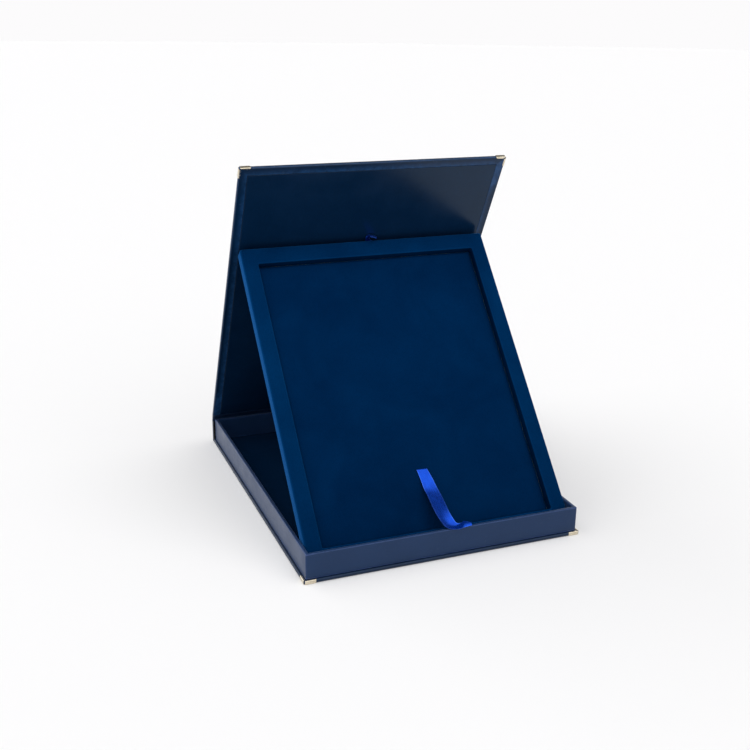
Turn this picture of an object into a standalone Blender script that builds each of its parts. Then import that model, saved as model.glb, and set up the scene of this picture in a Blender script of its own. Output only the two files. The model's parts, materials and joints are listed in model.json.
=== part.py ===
"""Presentation box with a cloth hinge, standing open as an easel.

A covered case (bottom board, spine and lid) carries a low tray. A velour panel with a shallow
recess is hinged at the front of the tray and leans back under the lid, which leans on it.
+X is the box's right, +Y its back, +Z up, and the origin is under the middle of the box.
"""

import math

import bmesh
import bpy
from mathutils import Vector

# Driving dimensions, in metres and radians. Each value is set by itself.
TRAY_WIDTH = 0.242
TRAY_DEPTH = 0.303
WALL_HEIGHT = 0.0214
WALL_BOARD = 0.0020
CASE_BOARD = 0.0018
COVER = 0.0003
LIP = 0.0022
BASE_TURN_IN = 0.012
LID_TURN_IN = 0.0075
LINING = 0.0004
GUARD_LEG = 0.010
HINGE_RADIUS = 0.0015

PANEL_SIDE_GAP = 0.0008
PANEL_END_GAP = 0.0042
PANEL_TILT = math.radians(48.0)
PANEL_BOARD = 0.0018
RAIL_HEIGHT = 0.0066
SIDE_RAIL = 0.0141
TOP_RAIL = 0.0156
BOTTOM_RAIL = 0.0125
VELOUR = 0.0005
PAD = 0.0012
TAPE_RADIUS = 0.0008
PANEL_WALL_GAP = 0.0004
LID_REST_GAP = 0.0024

RIBBON_WIDTH = 0.012
RIBBON_THICK = 0.0004
RIBBON_X = -0.0013
RIBBON_SLOT_AT = 0.066
RIBBON_FOOT_REACH = 0.025
TAB_X = 0.0105
TAB_DEPTH = 0.012

# Clearance between pieces that touch, and how far a cutter runs past what it cuts.
FIT = 0.0003
PAST = 0.001

# Case: cover, board and turned-in cover edge, with a fit between each.
CASE_THICK = 2 * COVER + 2 * FIT + CASE_BOARD
CASE_HALF_WIDTH = TRAY_WIDTH / 2 + LIP
BOARD_INSET = COVER + FIT
SPINE_THICK = BOARD_INSET + CASE_BOARD
WALL_THICK = 2 * COVER + 2 * FIT + WALL_BOARD

# Heights, from the surface that the box stands on.
TRAY_BASE = CASE_THICK + FIT
TRAY_TOP = TRAY_BASE + WALL_HEIGHT
FLOOR_TOP = TRAY_BASE + LINING

# Lengths along Y. The tray's front face is at zero here, and SHIFT centres the whole box.
SPINE_FRONT = TRAY_DEPTH + FIT
AXIS_Y = TRAY_DEPTH + HINGE_RADIUS
AXIS_Z = TRAY_TOP + FIT + CASE_THICK / 2
BOARD_START = max(HINGE_RADIUS, CASE_THICK / 2) + FIT
LID_END = AXIS_Y + LIP
SHIFT = (LIP - (AXIS_Y + HINGE_RADIUS)) / 2

# The panel's section: heights above its hinge axis, and places along its slope from that axis.
BACK = -(TAPE_RADIUS - FIT)
BOARD_BOTTOM = BACK + COVER + FIT
BOARD_TOP = BOARD_BOTTOM + PANEL_BOARD
RAIL_BOTTOM = BOARD_TOP + FIT
RAIL_TOP = RAIL_BOTTOM + RAIL_HEIGHT
FACE = RAIL_TOP + FIT + VELOUR
PAD_TOP = RAIL_BOTTOM + PAD
PANEL_START = TAPE_RADIUS + FIT

# The panel's foot stands behind the front wall, and laid flat it fits between the tray's walls.
PIVOT_Y = (
    WALL_THICK
    + PANEL_WALL_GAP
    - PANEL_START * math.cos(PANEL_TILT)
    + FACE * math.sin(PANEL_TILT)
)
PIVOT_Z = FLOOR_TOP + FIT + TAPE_RADIUS
PANEL_END = TRAY_DEPTH - WALL_THICK - PANEL_END_GAP - PIVOT_Y
PANEL_WIDTH = TRAY_WIDTH - 2 * (WALL_THICK + PANEL_SIDE_GAP)
RAIL_INSET = VELOUR + FIT
RECESS_LOW = PANEL_START + BOTTOM_RAIL
RECESS_HIGH = PANEL_END - TOP_RAIL
RECESS_HALF = PANEL_WIDTH / 2 - SIDE_RAIL

NAVY = (0.020, 0.035, 0.085)
LINING_NAVY = (0.004, 0.010, 0.028)
VELOUR_BLUE = (0.001, 0.018, 0.070)
SATIN_BLUE = (0.004, 0.060, 0.450)
GREYBOARD = (0.300, 0.280, 0.250)
BRASS = (0.780, 0.650, 0.440)


def clear_scene():
    for old in list(bpy.data.objects):
        bpy.data.objects.remove(old, do_unlink=True)


def collection(name, hidden=False):
    made = bpy.data.collections.new(name)
    bpy.context.scene.collection.children.link(made)
    made.hide_render = hidden
    return made


def material(name, colour, roughness, metallic=0.0):
    made = bpy.data.materials.new(name)
    made.use_nodes = True
    shader = made.node_tree.nodes["Principled BSDF"]
    shader.inputs["Base Color"].default_value = (*colour, 1.0)
    shader.inputs["Roughness"].default_value = roughness
    shader.inputs["Metallic"].default_value = metallic
    return made


def new_object(name, data, parent=None):
    """A sub-part in the parts collection."""
    made = bpy.data.objects.new(name, data)
    PARTS.objects.link(made)
    made.parent = parent
    return made


def make_cutter(obj):
    """Moves an object to the cutters and keeps it out of the render."""
    PARTS.objects.unlink(obj)
    CUTTERS.objects.link(obj)
    obj.hide_render = True
    obj.display_type = "WIRE"
    return obj


def box(name, low, high, finish=None, parent=None):
    """A box between two corners, with its origin in its middle."""
    low, high = Vector(low), Vector(high)
    shape = bmesh.new()
    bmesh.ops.create_cube(shape, size=1.0)
    bmesh.ops.scale(shape, vec=high - low, verts=shape.verts)
    mesh = bpy.data.meshes.new(name)
    shape.to_mesh(mesh)
    shape.free()
    made = new_object(name, mesh, parent)
    made.location = (low + high) / 2
    if finish:
        mesh.materials.append(finish)
    return made


def combine(obj, other, operation):
    """Adds one Boolean and turns the other object into a cutter."""
    make_cutter(other)
    step = obj.modifiers.new(other.name, "BOOLEAN")
    step.operation = operation
    step.object = other
    step.solver = "EXACT"


def cut(obj, low, high):
    """Cuts a box out of an object, in the space of that object's parent."""
    name = f"{obj.name}_cut_{len(obj.modifiers)}"
    combine(obj, box(name, low, high, parent=obj.parent), "DIFFERENCE")


def to_mesh_object(curve_object):
    """Replaces a curve object by the mesh that it makes, with its caps welded on."""
    bpy.context.view_layer.update()
    graph = bpy.context.evaluated_depsgraph_get()
    mesh = bpy.data.meshes.new_from_object(curve_object.evaluated_get(graph))
    shape = bmesh.new()
    shape.from_mesh(mesh)
    bmesh.ops.remove_doubles(shape, verts=shape.verts, dist=0.000001)
    shape.to_mesh(mesh)
    shape.free()
    name = curve_object.name
    made = new_object(name, mesh, curve_object.parent)
    made.location = curve_object.location
    made.rotation_euler = curve_object.rotation_euler
    bpy.data.objects.remove(curve_object)
    made.name = name
    return made


def triangle_block(name, corner, leg_x, leg_y, bottom, top, parent):
    """A right-angled triangle with its square corner at corner, standing from bottom to top."""
    curve = bpy.data.curves.new(name, "CURVE")
    curve.dimensions = "2D"
    curve.fill_mode = "BOTH"
    curve.extrude = (top - bottom) / 2
    spline = curve.splines.new("POLY")
    spline.points.add(2)
    outline = (corner, (corner[0] + leg_x, corner[1]), (corner[0], corner[1] + leg_y))
    for point, (x, y) in zip(spline.points, outline):
        point.co = (x, y, 0.0, 1.0)
    spline.use_cyclic_u = True
    made = new_object(name, curve, parent)
    made.location.z = (bottom + top) / 2
    return to_mesh_object(made)


def strip(name, path, low_x, high_x, finish, parent):
    """A ribbon that follows (along, above) points of the panel and runs from low_x to high_x."""
    curve = bpy.data.curves.new(name, "CURVE")
    curve.dimensions = "2D"
    curve.fill_mode = "NONE"
    curve.extrude = (high_x - low_x) / 2
    spline = curve.splines.new("POLY")
    spline.points.add(len(path) - 1)
    for point, (along, above) in zip(spline.points, path):
        point.co = (along, above, 0.0, 1.0)
    made = new_object(name, curve, parent)
    # Turns the outline's plane upright, with its first axis along the panel's slope.
    made.rotation_euler = (math.pi / 2, 0.0, math.pi / 2)
    made.location.x = (low_x + high_x) / 2
    made = to_mesh_object(made)
    shell = made.modifiers.new("thickness", "SOLIDIFY")
    shell.thickness = RIBBON_THICK
    shell.offset = 0.0
    shell.use_even_offset = True
    made.data.materials.clear()
    made.data.materials.append(finish)
    return made


def rod(name, radius, half_length, location, finish):
    """A round rod along X."""
    shape = bmesh.new()
    bmesh.ops.create_cone(
        shape,
        cap_ends=True,
        segments=24,
        radius1=radius,
        radius2=radius,
        depth=2 * half_length,
    )
    mesh = bpy.data.meshes.new(name)
    shape.to_mesh(mesh)
    shape.free()
    mesh.shade_smooth()
    mesh.set_sharp_from_angle(angle=math.radians(40))
    mesh.materials.append(finish)
    made = new_object(name, mesh)
    made.rotation_euler = (0.0, math.pi / 2, 0.0)
    made.location = location
    return made


def pivot(name, location, tilt):
    """An empty on a hinge axis, turned by tilt about X."""
    made = new_object(name, None)
    made.location = location
    made.rotation_euler = (tilt, 0.0, 0.0)
    return made


def panel_point(along, above):
    """World (y, z) of a point of the tilted panel, before the box is centred."""
    y = PIVOT_Y + along * math.cos(PANEL_TILT) - above * math.sin(PANEL_TILT)
    z = PIVOT_Z + along * math.sin(PANEL_TILT) + above * math.cos(PANEL_TILT)
    return y, z


def lid_angle():
    """The lid's turn about X that leaves LID_REST_GAP between it and the panel's top edge."""
    y, z = panel_point(PANEL_END, BACK)
    reach = math.hypot(y - AXIS_Y, z - AXIS_Z)
    return math.atan2(z - AXIS_Z, y - AXIS_Y) - math.asin(
        (CASE_THICK / 2 + LID_REST_GAP) / reach
    )


def case_leaf(name, start, end, bottom, turn_in, sides, parent):
    """One covered board of the case with its two corner guards.

    It runs from start, at the hinge, to its free end along the parent's Y, and from its outer
    face at bottom upwards. sides gives the X sign of the guard of each side.
    """
    top = bottom + CASE_THICK
    half = CASE_HALF_WIDTH
    board = box(
        f"{name}_board",
        (-(half - BOARD_INSET), start, bottom + BOARD_INSET),
        (half - BOARD_INSET, end - BOARD_INSET, top - BOARD_INSET),
        GREYBOARD_FINISH,
        parent,
    )
    cover = box(f"{name}_cover", (-half, start, bottom), (half, end, top), NAVY_FINISH, parent)
    hollow_low = (-(half - COVER), start - PAST, bottom + COVER)
    hollow_high = (half - COVER, end - COVER, top - COVER)
    cut(cover, hollow_low, hollow_high)
    cut(
        cover,
        (-(half - turn_in), start - PAST, bottom + BOARD_INSET),
        (half - turn_in, end - turn_in, top + PAST),
    )
    clearance = GUARD_LEG + FIT * math.sqrt(2.0)
    for side, sign in sides.items():
        corner = (sign * half, end)
        guard = triangle_block(
            f"{name}_corner_{side}", corner, -sign * GUARD_LEG, -GUARD_LEG, bottom, top, parent
        )
        guard.data.materials.append(BRASS_FINISH)
        cut(guard, hollow_low, hollow_high)
        past_corner = (corner[0] + sign * PAST, corner[1] + PAST)
        notch = triangle_block(
            f"{name}_{side}_notch",
            past_corner,
            -sign * (clearance + 2 * PAST),
            -(clearance + 2 * PAST),
            bottom - PAST,
            top + PAST,
            parent,
        )
        combine(cover, notch, "DIFFERENCE")
    return board


def make_base():
    """The bottom of the case. Its leaf runs forwards from the spine, so its X is reversed."""
    base = new_object("base_frame", None)
    base.location = (0.0, TRAY_DEPTH + SHIFT, 0.0)
    base.rotation_euler = (0.0, 0.0, math.pi)
    sides = {"left": 1, "right": -1}
    case_leaf("bottom", 0.0, TRAY_DEPTH + LIP, 0.0, BASE_TURN_IN, sides, base)


def make_spine():
    back = SPINE_FRONT + SPINE_THICK + SHIFT
    front = SPINE_FRONT + SHIFT
    top = AXIS_Z - BOARD_START
    half = CASE_HALF_WIDTH
    box(
        "spine_board",
        (-(half - BOARD_INSET), front, BOARD_INSET),
        (half - BOARD_INSET, back - BOARD_INSET, top),
        GREYBOARD_FINISH,
    )
    cover = box("spine_cover", (-half, front, 0.0), (half, back, top), NAVY_FINISH)
    cut(
        cover,
        (-(half - COVER), front - PAST, COVER),
        (half - COVER, back - COVER, top + PAST),
    )
    rod(
        "hinge_cloth",
        HINGE_RADIUS,
        CASE_HALF_WIDTH,
        (0.0, AXIS_Y + SHIFT, AXIS_Z),
        NAVY_FINISH,
    )


def make_tray():
    front, back = SHIFT, TRAY_DEPTH + SHIFT
    half = TRAY_WIDTH / 2
    outer = BOARD_INSET
    inner = BOARD_INSET + WALL_BOARD
    top = TRAY_TOP - BOARD_INSET
    walls = {
        "tray_front_wall": ((-(half - outer), front + outer), (half - outer, front + inner)),
        "tray_back_wall": ((-(half - outer), back - inner), (half - outer, back - outer)),
        "tray_left_wall": (
            (-(half - outer), front + inner + FIT),
            (-(half - inner), back - inner - FIT),
        ),
        "tray_right_wall": (
            (half - inner, front + inner + FIT),
            (half - outer, back - inner - FIT),
        ),
    }
    for name, (low, high) in walls.items():
        box(name, (*low, TRAY_BASE), (*high, top), GREYBOARD_FINISH)

    # The wrap is an upside-down channel over the four walls.
    wrap = box("tray_wrap", (-half, front, TRAY_BASE), (half, back, TRAY_TOP), NAVY_FINISH)
    channel = box(
        "wall_channel",
        (-(half - COVER), front + COVER, TRAY_BASE - PAST),
        (half - COVER, back - COVER, TRAY_TOP - COVER),
    )
    island = WALL_THICK - COVER
    cut(
        channel,
        (-(half - island), front + island, TRAY_BASE - 2 * PAST),
        (half - island, back - island, TRAY_TOP),
    )
    combine(wrap, channel, "DIFFERENCE")
    cut(
        wrap,
        (-(half - WALL_THICK), front + WALL_THICK, TRAY_BASE - PAST),
        (half - WALL_THICK, back - WALL_THICK, TRAY_TOP + PAST),
    )

    edge = WALL_THICK + FIT
    box(
        "tray_floor_lining",
        (-(half - edge), front + edge, TRAY_BASE),
        (half - edge, back - edge, FLOOR_TOP),
        LINING_FINISH,
    )


def make_lid():
    lid = pivot("lid_pivot", (0.0, AXIS_Y + SHIFT, AXIS_Z), lid_angle())
    outer = -CASE_THICK / 2
    sides = {"left": -1, "right": 1}
    case_leaf("lid", BOARD_START, LID_END, outer, LID_TURN_IN, sides, lid)
    edge = LID_TURN_IN + FIT
    half = CASE_HALF_WIDTH
    under = CASE_THICK / 2 - COVER
    box(
        "lid_lining",
        (-(half - edge), BOARD_START, under),
        (half - edge, LID_END - edge, under + LINING),
        LINING_FINISH,
        lid,
    )


def make_rails(panel):
    half = PANEL_WIDTH / 2 - RAIL_INSET
    inner = RECESS_HALF + RAIL_INSET
    low, high = PANEL_START + RAIL_INSET, PANEL_END - RAIL_INSET
    low_inner, high_inner = RECESS_LOW - RAIL_INSET, RECESS_HIGH + RAIL_INSET
    rails = {
        "panel_rail_bottom": ((-half, low), (half, low_inner)),
        "panel_rail_top": ((-half, high_inner), (half, high)),
        "panel_rail_left": ((-half, low_inner + FIT), (-inner, high_inner - FIT)),
        "panel_rail_right": ((inner, low_inner + FIT), (half, high_inner - FIT)),
    }
    made = {}
    for name, (start, end) in rails.items():
        made[name] = box(
            name, (*start, RAIL_BOTTOM), (*end, RAIL_TOP), GREYBOARD_FINISH, panel
        )
    # A pocket under the top rail takes the glued end of the lift tab.
    cut(
        made["panel_rail_top"],
        (TAB_X - tab_half(), high_inner - PAST, RAIL_BOTTOM - PAST),
        (TAB_X + tab_half(), high + PAST, tab_roof()),
    )


def tab_half():
    return RIBBON_WIDTH / 2 + FIT


def tab_roof():
    return RAIL_BOTTOM + RIBBON_THICK + FIT


def make_velour_frame(panel):
    """The velour skin over the rails: a frame with an outer and an inner skirt."""
    half = PANEL_WIDTH / 2
    frame = box(
        "panel_velour_frame", (-half, PANEL_START, BACK), (half, PANEL_END, FACE),
        VELOUR_FINISH, panel,
    )
    channel = box(
        "rail_channel",
        (-(half - VELOUR), PANEL_START + VELOUR, BACK - PAST),
        (half - VELOUR, PANEL_END - VELOUR, FACE - VELOUR),
        parent=panel,
    )
    cut(
        channel,
        (-(RECESS_HALF + VELOUR), RECESS_LOW - VELOUR, RAIL_BOTTOM),
        (RECESS_HALF + VELOUR, RECESS_HIGH + VELOUR, FACE),
    )
    combine(frame, channel, "DIFFERENCE")
    cut(
        frame,
        (-RECESS_HALF, RECESS_LOW, BACK - PAST),
        (RECESS_HALF, RECESS_HIGH, FACE + PAST),
    )
    # The slit in the top skirt that the lift tab comes out of.
    cut(
        frame,
        (TAB_X - tab_half(), PANEL_END - VELOUR - PAST, BOARD_TOP),
        (TAB_X + tab_half(), PANEL_END + PAST, tab_roof()),
    )


def make_panel_layers(panel):
    half = PANEL_WIDTH / 2 - RAIL_INSET
    low, high = PANEL_START + RAIL_INSET, PANEL_END - RAIL_INSET
    box("panel_back_paper", (-half, low, BACK), (half, high, BACK + COVER), NAVY_FINISH, panel)
    board = box(
        "panel_back_board", (-half, low, BOARD_BOTTOM), (half, high, BOARD_TOP),
        GREYBOARD_FINISH, panel,
    )
    pad = box(
        "recess_pad",
        (-(RECESS_HALF - FIT), RECESS_LOW + FIT, RAIL_BOTTOM),
        (RECESS_HALF - FIT, RECESS_HIGH - FIT, PAD_TOP),
        VELOUR_FINISH,
        panel,
    )
    slot_half = RIBBON_WIDTH / 2 + FIT
    slot_reach = RIBBON_THICK / 2 + FIT
    for layer in (board, pad):
        cut(
            layer,
            (RIBBON_X - slot_half, RIBBON_SLOT_AT - slot_reach, BOARD_BOTTOM - PAST),
            (RIBBON_X + slot_half, RIBBON_SLOT_AT + slot_reach, PAD_TOP + PAST),
        )


def rim_point():
    """The inner top edge of the front wall, as (along, above) in the panel's section."""
    y, z = WALL_THICK - PIVOT_Y, TRAY_TOP - PIVOT_Z
    along = y * math.cos(PANEL_TILT) + z * math.sin(PANEL_TILT)
    above = z * math.cos(PANEL_TILT) - y * math.sin(PANEL_TILT)
    return along, above


def make_ribbons(panel):
    """The pull ribbon falls out of its slot to the rim of the front wall, and the lift tab
    comes out of the panel's top edge and turns up along the lid."""
    rim_along, rim_above = rim_point()
    tail = (RIBBON_SLOT_AT, BOARD_BOTTOM + FIT)
    mouth = (RIBBON_SLOT_AT, PAD_TOP + 3 * FIT)
    lean = (RIBBON_SLOT_AT - 0.026, PAD_TOP + 0.0030)
    bow = (rim_along + 0.011, rim_above - 0.0060)
    end = (rim_along + 0.0010, rim_above + 0.0010)
    hanging = strip(
        "pull_ribbon",
        (tail, mouth, lean, bow, end),
        RIBBON_X - RIBBON_WIDTH / 2,
        RIBBON_X + RIBBON_WIDTH / 2,
        SATIN_FINISH,
        panel,
    )
    middle = ((bow[0] + end[0]) / 2, (bow[1] + end[1]) / 2)
    foot = strip(
        "ribbon_foot",
        (middle, end),
        RIBBON_X,
        RIBBON_X + RIBBON_FOOT_REACH,
        SATIN_FINISH,
        panel,
    )
    combine(hanging, foot, "UNION")

    turn = lid_angle() - PANEL_TILT
    level = RAIL_BOTTOM + RIBBON_THICK / 2
    bend = (PANEL_END + RIBBON_THICK / 2 + FIT, level)
    # The tab leans out as far as the gap that is left behind the panel when it lies flat.
    reach = PANEL_END + PANEL_END_GAP - FIT - RIBBON_THICK / 2 - bend[0]
    tip = (bend[0] + reach, bend[1] + reach * math.tan(turn))
    strip(
        "lift_tab",
        ((PANEL_END - TAB_DEPTH, level), bend, tip),
        TAB_X - RIBBON_WIDTH / 2,
        TAB_X + RIBBON_WIDTH / 2,
        SATIN_FINISH,
        panel,
    )


def make_panel():
    panel = pivot("panel_pivot", (0.0, PIVOT_Y + SHIFT, PIVOT_Z), PANEL_TILT)
    make_rails(panel)
    make_velour_frame(panel)
    make_panel_layers(panel)
    make_ribbons(panel)
    rod(
        "panel_hinge_tape",
        TAPE_RADIUS,
        PANEL_WIDTH / 2,
        (0.0, PIVOT_Y + SHIFT, PIVOT_Z),
        NAVY_FINISH,
    )


clear_scene()
PARTS = collection("easel_presentation_box")
CUTTERS = collection("cutters", hidden=True)
NAVY_FINISH = material("navy_leatherette", NAVY, 0.42)
LINING_FINISH = material("lining_paper", LINING_NAVY, 0.35)
VELOUR_FINISH = material("blue_velour", VELOUR_BLUE, 0.95)
SATIN_FINISH = material("blue_satin", SATIN_BLUE, 0.35)
GREYBOARD_FINISH = material("greyboard", GREYBOARD, 0.90)
BRASS_FINISH = material("pale_brass", BRASS, 0.25, metallic=1.0)
make_base()
make_spine()
make_tray()
make_lid()
make_panel()
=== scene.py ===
"""Looks of a navy presentation box that stands open as an easel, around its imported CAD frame."""

import json
import math

import bmesh
import bpy
import numpy as np
from mathutils import Matrix, Vector, noise

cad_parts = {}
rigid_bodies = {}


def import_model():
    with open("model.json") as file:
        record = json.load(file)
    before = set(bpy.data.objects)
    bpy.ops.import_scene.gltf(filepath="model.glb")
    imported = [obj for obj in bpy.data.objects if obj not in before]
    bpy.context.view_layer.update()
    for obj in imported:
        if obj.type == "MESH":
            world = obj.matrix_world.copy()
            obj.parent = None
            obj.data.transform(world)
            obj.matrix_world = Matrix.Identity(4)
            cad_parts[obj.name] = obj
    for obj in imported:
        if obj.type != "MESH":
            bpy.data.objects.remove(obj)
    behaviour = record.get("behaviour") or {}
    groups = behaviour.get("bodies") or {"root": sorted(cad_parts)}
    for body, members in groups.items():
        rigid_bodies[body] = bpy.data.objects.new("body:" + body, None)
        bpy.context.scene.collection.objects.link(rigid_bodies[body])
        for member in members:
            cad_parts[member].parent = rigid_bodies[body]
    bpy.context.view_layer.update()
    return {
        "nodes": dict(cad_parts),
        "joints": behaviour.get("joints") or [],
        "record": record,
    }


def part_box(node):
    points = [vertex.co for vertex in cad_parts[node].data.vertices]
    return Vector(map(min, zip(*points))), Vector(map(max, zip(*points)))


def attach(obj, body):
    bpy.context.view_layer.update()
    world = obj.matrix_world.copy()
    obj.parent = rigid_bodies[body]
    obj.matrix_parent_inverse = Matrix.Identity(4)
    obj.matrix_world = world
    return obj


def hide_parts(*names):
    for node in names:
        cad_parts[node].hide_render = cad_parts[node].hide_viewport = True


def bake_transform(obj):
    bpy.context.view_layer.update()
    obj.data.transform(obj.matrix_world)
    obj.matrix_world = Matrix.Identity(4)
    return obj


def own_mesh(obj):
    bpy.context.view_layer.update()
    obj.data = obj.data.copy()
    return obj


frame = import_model()
NODES = frame["nodes"]
JOINTS = {joint["name"]: joint for joint in frame["joints"]}

# Camera: focal length as a share of the sensor's width, turns in radians, framing in metres.
LENS_SHARE = 1.4203467
CAMERA_YAW = math.radians(21.52)
CAMERA_PITCH = math.radians(19.20)
CAMERA_ROLL = math.radians(0.69)
CAMERA_FRAMING = Vector((0.00453, 0.04533, 0.98486))
LOOK_HEIGHT = 0.060

# Covered boards, in metres. BESIDE is how far the loops that hold a rounded edge lie from it.
EDGE_ROUND = 0.0010
BOARD_CORNER = EDGE_ROUND * 1.3
WALL_ROUND = 0.0009
TRAY_CORNER = 0.0011
SHEET_CORNER = 0.0008
PAPER = 0.0003
PAPER_STEP = 0.00008
BOTTOM_TURN_IN = 0.012
MITRE_GROOVE = 0.00016
BESIDE = 0.0004

# Brass corner guards.
BRASS_PROUD = 0.00016
BRASS_THICK = 0.00028
GUARD_LEG_ROUND = 0.0009
GUARD_FLAP = 0.0017
GUARD_MITRE = 0.0009

# The room: how bright it is, where 1 is white, and the way to the softbox that glossy faces mirror.
AROUND = 0.43
BACKDROP = 0.973
SOFTBOX = (0.35, -0.45, 0.82)
DARK_CEILING = 0.10
FLOOR_GLOW = 0.172
FLOOR_RADIUS = 12.0

# Velour panel. The pad falls at its rim and dips round the ribbon's slot.
NAP_ROUND = 0.0017
NAP = 0.0004
PANEL_CORNER = 0.0020
WINDOW_CORNER = 0.0012
PAD_RIM = 0.0028
PAD_FALL = 0.00085
PAD_GRID = 0.006
SLOT_DIP = 0.00045
SLOT_DIP_REACH = 0.0012

# Ribbons, the slot in the recess and the tape at the panel's foot.
RIBBON_THICK = 0.00025
SLOT_AT = 0.066
SLOT_HALF = 0.0005
SLOT_REACH = 0.0053
SLOT_MIDDLE = -0.00115
TAPE_LEG = 0.013
TAPE_THICK = 0.00022


# ---------------------------------------------------------------- frames of the three bodies

def local_frame(pivot, angle):
    """A body's own frame: it starts on the joint's line, and its Y runs along the board."""
    return Matrix.Translation(Vector(pivot)) @ Matrix.Rotation(angle, 4, "X")


def slope_of(node):
    """The angle about X of a flat node's long side, from +Y upwards."""
    points = np.array([v.co for v in NODES[node].data.vertices])[:, 1:]
    long_way = np.linalg.svd(points - points.mean(0))[2][0]
    long_way = long_way * np.sign(long_way[1])
    return math.atan2(long_way[1], long_way[0])


LID = local_frame(JOINTS["lid_hinge"]["pos_m"], slope_of("lid_board"))
PANEL = local_frame(JOINTS["panel_tilt"]["pos_m"], slope_of("panel_back_board"))
BASE = Matrix.Identity(4)


def ways(turn):
    """In the plane of Y and Z: along a board that is turned by this angle, and out of its face."""
    return Vector((math.cos(turn), math.sin(turn))), Vector((-math.sin(turn), math.cos(turn)))


def inner_box(node, place):
    """Lowest and highest corner of a CAD node in a body's own frame."""
    back = np.array(place.inverted())
    points = np.array([v.co for v in NODES[node].data.vertices])
    points = points @ back[:3, :3].T + back[:3, 3]
    return Vector(points.min(0)), Vector(points.max(0))


# ---------------------------------------------------------------- mesh helpers

def piece(name, shape, place, body, material, replaces, smooth=math.radians(35)):
    """Turns a bmesh in a body's own frame into a piece that rides on that body, if one is given."""
    bmesh.ops.recalc_face_normals(shape, faces=shape.faces)
    mesh = bpy.data.meshes.new(name)
    shape.to_mesh(mesh)
    shape.free()
    mesh.transform(place)
    mesh.shade_smooth()
    mesh.set_sharp_from_angle(angle=smooth)
    mesh.materials.append(material)
    made = bpy.data.objects.new(name, mesh)
    bpy.context.scene.collection.objects.link(made)
    if body:
        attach(made, body)
    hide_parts(*replaces)
    return made


def ring_points(low, high, radius, steps=6, pieces=1):
    """A rounded rectangle in X and Y, anticlockwise, with the same count of points for any size."""
    radius = max(radius, 0.00002)
    corners = (
        ((high[0] - radius, high[1] - radius), 0.0),
        ((low[0] + radius, high[1] - radius), math.pi / 2),
        ((low[0] + radius, low[1] + radius), math.pi),
        ((high[0] - radius, low[1] + radius), 1.5 * math.pi),
    )
    arcs = []
    for (x, y), start in corners:
        turns = [start + math.pi / 2 * i / steps for i in range(steps + 1)]
        arcs.append([(x + radius * math.cos(a), y + radius * math.sin(a)) for a in turns])
    points = []
    for arc, following in zip(arcs, arcs[1:] + arcs[:1]):
        points += arc
        for i in range(1, pieces):
            share = i / pieces
            points.append(
                tuple(a + (b - a) * share for a, b in zip(arc[-1], following[0]))
            )
    return points


def rings_to_mesh(rings, closed=False):
    """Joins equal rings of 3-D points with quads, and closes the row or caps both its ends."""
    shape = bmesh.new()
    made = [[shape.verts.new(p) for p in ring] for ring in rings]
    pairs = list(zip(made, made[1:]))
    if closed:
        pairs.append((made[-1], made[0]))
    for one, two in pairs:
        count = len(one)
        for i in range(count):
            j = (i + 1) % count
            shape.faces.new((one[i], one[j], two[j], two[i]))
    if not closed:
        shape.faces.new(made[0])
        shape.faces.new(made[-1])
    return shape


def arc(centre, radius, start, end, steps=4):
    """Points of an arc from start to end degrees."""
    turns = [math.radians(start + (end - start) * i / steps) for i in range(steps + 1)]
    return [(centre[0] + radius * math.cos(a), centre[1] + radius * math.sin(a)) for a in turns]


def board_outline(low, high, edge):
    """(inset, height) round a board's edge, from the lower face to the upper, with its loops."""
    beside = min(BESIDE, edge)
    return [
        (edge + beside * 2, low.z), (edge + beside, low.z),
        *arc((edge, low.z + edge), edge, 270, 180), *arc((edge, high.z - edge), edge, 180, 90),
        (edge + beside, high.z), (edge + beside * 2, high.z),
    ]


def rounded_slab(low, high, edge, corner):
    """A board with rounded edges and rounded corners."""
    rings = []
    for inset, height in board_outline(low, high, edge):
        ring = ring_points(
            (low.x + inset, low.y + inset), (high.x - inset, high.y - inset), corner - inset,
            pieces=6,
        )
        rings.append([(x, y, height) for x, y in ring])
    return rings_to_mesh(rings)


# ---------------------------------------------------------------- materials

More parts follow.
